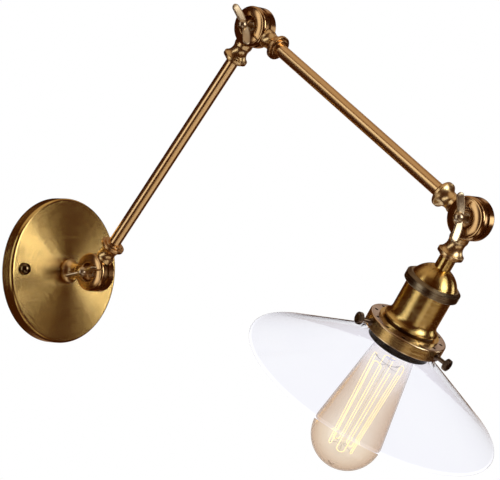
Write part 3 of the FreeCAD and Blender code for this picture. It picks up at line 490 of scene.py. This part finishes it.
def dress_cad_nodes():
    """Give every CAD node its own finish, or the finish of its slot."""
    slots = {row["node"]: row["material_slot"] for row in frame["record"]["subparts"]}
    for name, item in frame["nodes"].items():
        item.data.materials.clear()
        item.data.materials.append(NODE_FINISHES.get(name, MATERIALS[slots[name]]))


dress_cad_nodes()


# Shaping new pieces

def grid_mesh(name, points, closed):
    """Mesh of quads over a grid of points in metres; each row is joined end to end where it is closed."""
    rows, columns = points.shape[:2]
    index = np.arange(rows * columns).reshape(rows, columns)
    row = np.arange(rows - 1)
    column = np.arange(columns if closed else columns - 1)
    beside = (column + 1) % columns
    quads = np.stack([index[np.ix_(row, column)], index[np.ix_(row + 1, column)],
                      index[np.ix_(row + 1, beside)], index[np.ix_(row, beside)]], -1).reshape(-1, 4)
    mesh = bpy.data.meshes.new(name)
    mesh.from_pydata(points.reshape(-1, 3).tolist(), [], quads.tolist())
    mesh.update()
    return mesh


# Points nearer than this, in metres, are one point
SAME_POINT = 1e-7


def finish_mesh(mesh):
    """Join the doubled points of poles, turn the faces outward and shade them smooth."""
    shape = bmesh.new()
    shape.from_mesh(mesh)
    bmesh.ops.remove_doubles(shape, verts=shape.verts, dist=SAME_POINT)
    bmesh.ops.recalc_face_normals(shape, faces=shape.faces)
    shape.to_mesh(mesh)
    shape.free()
    mesh.shade_smooth()


def new_piece(name, body, material, points, replaced=()):
    """A piece over closed rows of points in millimetres, that rides on a body and stands for CAD nodes."""
    mesh = grid_mesh(name, points * MM, True)
    finish_mesh(mesh)
    mesh.materials.append(material)
    piece = bpy.data.objects.new(name, mesh)
    bpy.context.scene.collection.objects.link(piece)
    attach(piece, body)
    if replaced:
        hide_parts(*replaced)


def unit(vectors):
    return vectors / np.linalg.norm(vectors, axis=-1, keepdims=True)


# Points of an arc, distance of the guard points from it in millimetres, and half of a corner's angle in
# radians above which it counts as straight
ARC_STEPS = 7
GUARD = 0.04
NEARLY_STRAIGHT = 1.55


def rounded(corners):
    """Line through corners (along, radius, rounding): each corner becomes an arc, with a guard point
    on the straight at both sides so that the shading stays flat there."""
    spots = np.array([corner[:2] for corner in corners], float)
    sizes = np.array([corner[2] for corner in corners], float)
    share = np.linspace(0, 1, ARC_STEPS)[:, None]
    line = [spots[:1]]
    for place, before, after, size in zip(spots[1:-1], spots[:-2], spots[2:], sizes[1:-1]):
        to_before = unit(before - place)
        to_after = unit(after - place)
        half = math.acos(np.clip(to_before @ to_after, -1, 1)) / 2
        if size == 0 or half > NEARLY_STRAIGHT:
            line.append(place[None])
            continue
        reach = size / math.tan(half)
        centre = place + unit(to_before + to_after) * size / math.sin(half)
        chord = (place + to_before * reach) * (1 - share) + (place + to_after * reach) * share
        arc = centre + unit(chord - centre) * size
        line += [(place + to_before * (reach + GUARD))[None], arc, (place + to_after * (reach + GUARD))[None]]
    line.append(spots[-1:])
    return np.concatenate(line)


# A direction that no turned piece has for its axis
ASKEW = [0.31, 0.85, 0.42]


def turned_points(line, origin, axis, segments, ridge_depth=0.0, ridges=0):
    """Points of a line (along, radius) turned about an axis, with a wave of ridges round it."""
    side = unit(np.cross(axis, ASKEW))
    turn = np.linspace(0, 2 * math.pi, segments, endpoint=False)
    spoke = np.outer(np.cos(turn), side) + np.outer(np.sin(turn), np.cross(axis, side))
    radius = line[:, 1:] + ridge_depth * np.cos(ridges * turn)
    return origin + line[:, :1, None] * axis + radius[..., None] * spoke


def swept_points(path, lead, wide, thick, sides, square=2.0):
    """Points of a rounded section swept along a path: wide along lead, thick across it and the path.
    The section is |a/wide|^square + |b/thick|^square = 1, an ellipse at 2 and squarer above."""
    forward = unit(np.gradient(path, axis=0))
    across = unit(np.cross(forward, lead))
    lead = np.cross(across, forward)
    turn = np.linspace(0, 2 * math.pi, sides, endpoint=False)
    first = np.sign(np.cos(turn)) * np.abs(np.cos(turn)) ** (2 / square)
    second = np.sign(np.sin(turn)) * np.abs(np.sin(turn)) ** (2 / square)
    round_lead = first[:, None] * (lead * wide[:, None])[:, None]
    round_across = second[:, None] * (across * thick[:, None])[:, None]
    return path[:, None] + round_lead + round_across


# Clamp screws, in millimetres: seat and hub are measured along the joint's axis from its middle

HALF_DRUM = 8.6
DISH_DEPTH = 4.8
FLANGE = 1.0
FLANGE_RADIUS = 3.6
STEM_LENGTH = 10.0
STEM_RADIUS = 2.3
SEAT = HALF_DRUM - DISH_DEPTH
FLANGE_TOP = SEAT + FLANGE
HUB = FLANGE_TOP + STEM_LENGTH
HUB_RADIUS = 4.0
WING_LENGTH = 17.2
WING_FLARE = 5.0
WING_SET_BACK = 2.0
WING_POINTS = 121
# Half width and half thickness of a wing at the hub; along it, the width swells with the share of its length
# and tapers with the share's square, and the thickness thins with the share
WING_WIDTH = 2.4
WING_SWELL = 3.4
WING_TAPER = 3.2
WING_THICKNESS = 1.1
WING_THINNING = 0.25
# Share of a wing's length that its rounded end takes
WING_END = 0.14
# Place, turn of the wings in the joint's plane and the twist of their broad side, in degrees
CLAMPS = {"shoulder": (SHOULDER, 75.5, 4), "elbow": (ELBOW, -25, 24), "head": (NECK, 6, 24)}


def clamp_stem(joint, place):
    """Turned stem of a clamp screw, with a flange and a ball for a hub."""
    ball = np.linspace(math.asin(STEM_RADIUS / HUB_RADIUS), math.pi, 24)
    hub = np.stack([HUB - HUB_RADIUS * np.cos(ball), HUB_RADIUS * np.sin(ball)], -1)
    stem = rounded([(SEAT, 0, 0), (SEAT, FLANGE_RADIUS, 0.1), (FLANGE_TOP, FLANGE_RADIUS, 0.4),
                    (FLANGE_TOP, STEM_RADIUS, 0.5), (*hub[0], 0)])
    points = turned_points(np.concatenate([stem[:-1], hub]), place, FRONT, 48)
    new_piece(f"{joint}_clamp_stem", f"{joint}_screw", CLAMP_BRASS, points)


def clamp_wings(joint, place, wing_turn, twist):
    """One leaf-shaped bow for both wings of a clamp screw. Its middle line leaves the hub on both sides and
    bends forward with the square of the distance; its width swells and tapers, and rounds off at each end."""
    angle = math.radians(wing_turn)
    leaf = np.array([math.sin(angle), 0, math.cos(angle)])
    turn_in = math.radians(twist)
    broad = math.cos(turn_in) * FRONT + math.sin(turn_in) * np.cross(FRONT, leaf)
    share = np.sin(np.linspace(-0.5, 0.5, WING_POINTS) * math.pi)
    forward = HUB - WING_SET_BACK + WING_FLARE * share ** 2
    path = place + np.outer(share * WING_LENGTH, leaf) + np.outer(forward, FRONT)
    reach = np.abs(share)
    in_end = np.clip((reach - 1 + WING_END) / WING_END, 0, 1)
    close = np.sqrt(1 - in_end ** 2)
    wide = (WING_WIDTH + WING_SWELL * reach - WING_TAPER * reach ** 2) * close
    thick = (WING_THICKNESS - WING_THINNING * reach) * close
    points = swept_points(path, broad, wide, thick, 32, 4.0)
    new_piece(f"{joint}_clamp_wings", f"{joint}_screw", CLAMP_BRASS, points,
              (f"{joint}_wing_screw",))


for joint, (place, wing_turn, twist) in CLAMPS.items():
    clamp_stem(joint, place)
    clamp_wings(joint, place, wing_turn, twist)


# Thumb screws of the gallery, in millimetres from the head's axis, and their turns round it in degrees

SHADE_SCREW_STATION = 96.0
GALLERY_RADIUS = 30.1
THUMB_TIP = 27.4
SHANK_RADIUS = 1.6
BOSS_START = GALLERY_RADIUS - 0.4
BOSS_END = GALLERY_RADIUS + 1.5
BOSS_RADIUS = 3.0
BOSS_END_RADIUS = 2.2
THUMB_REACH = 42
THUMB_RIM = THUMB_REACH - 3.4
THUMB_DISH = THUMB_REACH - 0.3
THUMB_RADIUS = 4.3
THUMB_BACK_RADIUS = 3.4
THUMB_FACE_RADIUS = 3.5
THUMB_DISH_RADIUS = 2.6
KNURLS = 26
KNURL_DEPTH = 0.22
THUMB_TURNS = {"left": -114.5, "right": 5.5, "back": 125.5}


def thumb_screw(side, degrees):
    """Thumb screw: boss, shank and a knurled head, turned about the screw's own axis."""
    line = rounded([(THUMB_TIP, 0, 0), (THUMB_TIP, SHANK_RADIUS, 0), (BOSS_START, SHANK_RADIUS, 0.1),
                    (BOSS_START, BOSS_RADIUS, 0.3), (BOSS_END, BOSS_END_RADIUS, 0.4),
                    (BOSS_END, SHANK_RADIUS, 0.2), (THUMB_RIM - 0.8, SHANK_RADIUS, 0.4),
                    (THUMB_RIM - 0.3, THUMB_BACK_RADIUS, 0.3), (THUMB_RIM, THUMB_RADIUS, 0.4),
                    (THUMB_REACH - 0.5, THUMB_RADIUS, 0.4), (THUMB_REACH, THUMB_FACE_RADIUS, 0.3),
                    (THUMB_DISH, THUMB_DISH_RADIUS, 0.3), (THUMB_DISH, 0, 0)])
    on_rim = np.clip((line[:, 1:] - THUMB_RADIUS + 0.4) / 0.3, 0, 1)
    axis = head_spoke(math.radians(degrees))
    points = turned_points(line, NECK + SHADE_SCREW_STATION * HEAD, axis, 8 * KNURLS,
                           KNURL_DEPTH * on_rim, KNURLS)
    new_piece(f"thumb_screw_{side}", f"shade_screw_{side[0]}", MATERIALS["dark_bronze"],
              points, (f"shade_screw_{side}",))


for side, degrees in THUMB_TURNS.items():
    thumb_screw(side, degrees)


# Filament, in millimetres along the head's axis from the head joint and round that axis

FILAMENT_START = 124.5
FILAMENT_END = 194.5
FILAMENT_TOP_CIRCLE = 12.3
FILAMENT_BASE_CIRCLE = 9.6
FILAMENT_STRANDS = 10
STRAND_STEP = 2 * math.pi / FILAMENT_STRANDS
STRAND_POINTS = 90
WIRE_RADIUS = 0.28
# Share of a strand's run that its bow takes, and how far the bow passes the strand's end
BOW = 0.14
BOW_REACH = 2.2
STEM_END = 119.5
ROD_START = STEM_END - 2
ROD_END = FILAMENT_END + 3
ROD_RADIUS = 0.7
HOOK_RADIUS = 0.16
HOOK_POINTS = 24
# Distance of a hook's root from the axis, and how far its tip passes the strands
HOOK_ROOT = 0.6
HOOK_PAST = 0.4


def filament_wire():
    """One wire that runs down and up the cage: straight strands, each joined to the next by a bow
    that passes its hook on a half wave."""
    run = np.linspace(0, FILAMENT_STRANDS - BOW, FILAMENT_STRANDS * STRAND_POINTS)
    strand = np.floor(run)
    part = run - strand
    bow = np.clip((part - 1 + BOW) / BOW, 0, 1)
    straight = np.clip(part / (1 - BOW), 0, 1)
    down = strand % 2 == 0
    drop = np.where(down, straight, 1 - straight)
    overshoot = np.where(down, 1, -1) * BOW_REACH * np.sin(math.pi * bow)
    along = FILAMENT_START + (FILAMENT_END - FILAMENT_START) * drop + overshoot
    radius = FILAMENT_TOP_CIRCLE + (FILAMENT_BASE_CIRCLE - FILAMENT_TOP_CIRCLE) * drop
    spoke = head_spoke(STRAND_STEP * (strand + 0.5 - 0.5 * np.cos(math.pi * bow)))
    path = NECK + np.outer(along, HEAD) + radius[:, None] * spoke
    size = np.full(len(run), WIRE_RADIUS)
    size[[0, -1]] = 0
    new_piece("filament_cage", "bulb", MATERIALS["filament_wire"],
              swept_points(path, spoke, size, size, 10), ("filament",))


def support_rod():
    """Glass rod in the middle of the cage."""
    rod = rounded([(ROD_START, 0, 0), (ROD_START, ROD_RADIUS, 0.3),
                   (ROD_END, ROD_RADIUS, 0.4), (ROD_END, 0, 0)])
    new_piece("support_rod", "bulb", STEM_GLASS, turned_points(rod, NECK, HEAD, 24),
              ("filament_supports",))


def filament_hook(name, turn, start, circle, lift):
    """Thin wire that leaves the rod and bends along the axis to the bow that it holds."""
    share = np.linspace(0, 1, HOOK_POINTS)
    size = HOOK_RADIUS * np.sqrt(1 - (2 * share - 1) ** 40)
    spoke = head_spoke(turn)
    out = HOOK_ROOT + (circle + HOOK_PAST - HOOK_ROOT) * share
    path = NECK + np.outer(start + lift * share ** 2, HEAD) + np.outer(out, spoke)
    points = swept_points(path, np.cross(HEAD, spoke), size, size, 8)
    new_piece(name, "bulb", MATERIALS["zinc_steel"], points)


# Start, circle and lift of the hooks in the two rings
HOOK_RINGS = [(FILAMENT_START, FILAMENT_TOP_CIRCLE, -BOW_REACH),
              (FILAMENT_END, FILAMENT_BASE_CIRCLE, BOW_REACH)]

filament_wire()
support_rod()
for ring, hooks in enumerate(HOOK_RINGS):
    for number in range(FILAMENT_STRANDS // 2):
        filament_hook(f"hook_{ring}_{number}", STRAND_STEP * (2 * number + 1.5 - ring), *hooks)


# Camera, light and floor: lengths in millimetres, angles in degrees

CAMERA_AZIMUTH = 40.306
CAMERA_ELEVATION = -1.104
CAMERA_ROLL = 3.0
CAMERA_DISTANCE = 1572.864
CAMERA_SIDESTEP = 161.662
CAMERA_LIFT = 25.222
FOCAL_PIXELS = 1888.094
FRAME_PIXELS = 500
SENSOR = 36.0


def camera_axes():
    """Right, up and backward unit vectors of the camera, rolled about its own line of sight."""
    azimuth = math.radians(CAMERA_AZIMUTH)
    elevation = math.radians(CAMERA_ELEVATION)
    roll = math.radians(CAMERA_ROLL)
    back = np.array([math.sin(azimuth) * math.cos(elevation), -math.cos(azimuth) * math.cos(elevation),
                     math.sin(elevation)])
    right = np.array([math.cos(azimuth), math.sin(azimuth), 0])
    up = np.cross(back, right)
    rolled_right = right * math.cos(roll) + up * math.sin(roll)
    rolled_up = up * math.cos(roll) - right * math.sin(roll)
    return rolled_right, rolled_up, back


RIGHT, UP, BACK = camera_axes()


def make_camera():
    data = bpy.data.cameras.new("camera")
    data.sensor_width = SENSOR
    data.lens = FOCAL_PIXELS * SENSOR / FRAME_PIXELS
    camera = bpy.data.objects.new("camera", data)
    bpy.context.scene.collection.objects.link(camera)
    place = CAMERA_DISTANCE * BACK + CAMERA_SIDESTEP * RIGHT + CAMERA_LIFT * UP
    turned = Matrix((RIGHT, UP, BACK)).transposed().to_4x4()
    camera.matrix_world = Matrix.Translation(Vector(place * MM)) @ turned
    bpy.context.scene.camera = camera


class Studio(Nodes):
    """The world's nodes, with the angles of a direction as seen from the lamp towards the camera."""

    def __init__(self, tree):
        super().__init__(tree)
        direction = self.node("ShaderNodeTexCoord", {}, {}, "Generated")
        degrees = 180 / math.pi
        self.turn = self.maths("ARCTAN2", self.dot(direction, RIGHT), self.dot(direction, BACK)) * degrees
        self.rise = self.maths("ARCSINE", self.dot(direction, UP)) * degrees
        self.behind = self.dot(direction, -BACK)

    def window(self, angle, middle, half, edge):
        """One inside an angle's range, with soft edges."""
        return self.drop(self.maths("ABSOLUTE", angle - middle), half - edge, half + edge)

    def soft_box(self, turn, half_turn, rise, half_rise, edge, strength):
        across = self.window(self.turn, turn, half_turn, edge)
        return across * self.window(self.rise, rise, half_rise, edge) * strength


# Soft boxes: turn from the camera to its right, half width, rise, half height, soft edge, strength
SOFT_BOXES = [
    (-57, 10.5, 12, 33, 4, 1.3),
    (58, 13, 10, 17, 4, 4.6),
    (110, 9, -5, 10, 4, 2.0),
    (62, 11, 43, 8, 5, 1.2),
    (160, 17, 36, 13, 6, 0.45),
    (0, 14, -42, 9, 6, 0.85),
    (50, 52, -62, 7, 5, 0.7),
    (40, 54, -53, 16, 6, 0.1),
]
ROOM_LIGHT = 0.05
CEILING_LIGHT = 0.55
CEILING_RISE = (45, 66)
# The backdrop is lit where a direction points away from the camera and isn't high
BACKDROP_LIGHT = 0.3
BACKDROP_BEHIND = (0.78, 0.95)
BACKDROP_RISE = (-6, 10)
# Light for rays that have passed a glass surface, which a count of surfaces between these two tells
GLASS_LIGHT = 0.3
GLASS_PASSED = (0.4, 0.6)
# Powers of a dim light's strength that its green and its blue fall by
GREEN_FALL = 0.4
BLUE_FALL = 0.85


def make_world():
    """Studio round the lamp: a dim warm room with soft boxes, and white where the camera looks through."""
    world = bpy.data.worlds.new("studio")
    bpy.context.scene.world = world
    world.use_nodes = True
    studio = Studio(world.node_tree)
    light = studio.lift(studio.rise, *CEILING_RISE, ROOM_LIGHT, CEILING_LIGHT)
    backdrop = studio.lift(studio.behind, *BACKDROP_BEHIND, 0.0, BACKDROP_LIGHT)
    light = light + backdrop * studio.drop(studio.rise, *BACKDROP_RISE)
    for box in SOFT_BOXES:
        light = light + studio.soft_box(*box)
    dim = studio.maths("MINIMUM", light, 1.0)
    warm = studio.node("ShaderNodeCombineColor", {},
                       {0: light, 1: light * dim ** GREEN_FALL, 2: light * dim ** BLUE_FALL})
    within_glass = studio.lift(studio.ray("Transmission Depth"), *GLASS_PASSED, 0.0, GLASS_LIGHT)
    within_glass = within_glass * (1 - studio.ray("Is Diffuse Ray"))
    seen = studio.maths("MAXIMUM", studio.seen(), within_glass)
    background = world.node_tree.nodes["Background"]
    studio.feed(background.inputs["Color"], studio.mix(seen, warm, WHITE))


FLOOR_DEPTH = -1200
FLOOR_HALF = 3000
# Distances in metres over which the floor turns white
FLOOR_FADE = (0.8, 2.8)


def pale_floor():
    """Pale floor that turns white towards its edge and can be looked through from below."""
    finish = Finish("pale_floor", Roughness=0.8, Emission_Strength=1.0)
    cloud = finish.noise(finish.place(), scale=3.0)
    finish.set("Base Color", finish.mix(cloud, rgb(0.78, 0.78, 0.77), rgb(0.82, 0.82, 0.81)))
    away = finish.length(finish.place_from((0, 0, FLOOR_DEPTH)))
    shown = finish.mix(finish.lift(away, *FLOOR_FADE), rgb(0.58, 0.62, 0.67), rgb(0.75, 0.78, 0.82))
    finish.set("Emission Color", finish.mix(finish.seen(), BLACK, shown))
    finish.set("Alpha", 1 - finish.node("ShaderNodeNewGeometry", {}, {}, "Backfacing"))
    return finish.material


def make_floor():
    """Square floor well below the lamp."""
    side = np.array([-FLOOR_HALF, FLOOR_HALF])
    points = np.stack([*np.meshgrid(side, side, indexing="ij"), np.full((2, 2), FLOOR_DEPTH)], -1)
    mesh = grid_mesh("floor", points * MM, False)
    mesh.materials.append(pale_floor())
    floor = bpy.data.objects.new("floor", mesh)
    bpy.context.scene.collection.objects.link(floor)
    floor.visible_glossy = False


make_camera()
make_world()
make_floor()
bpy.context.scene.view_settings.view_transform = "Standard"
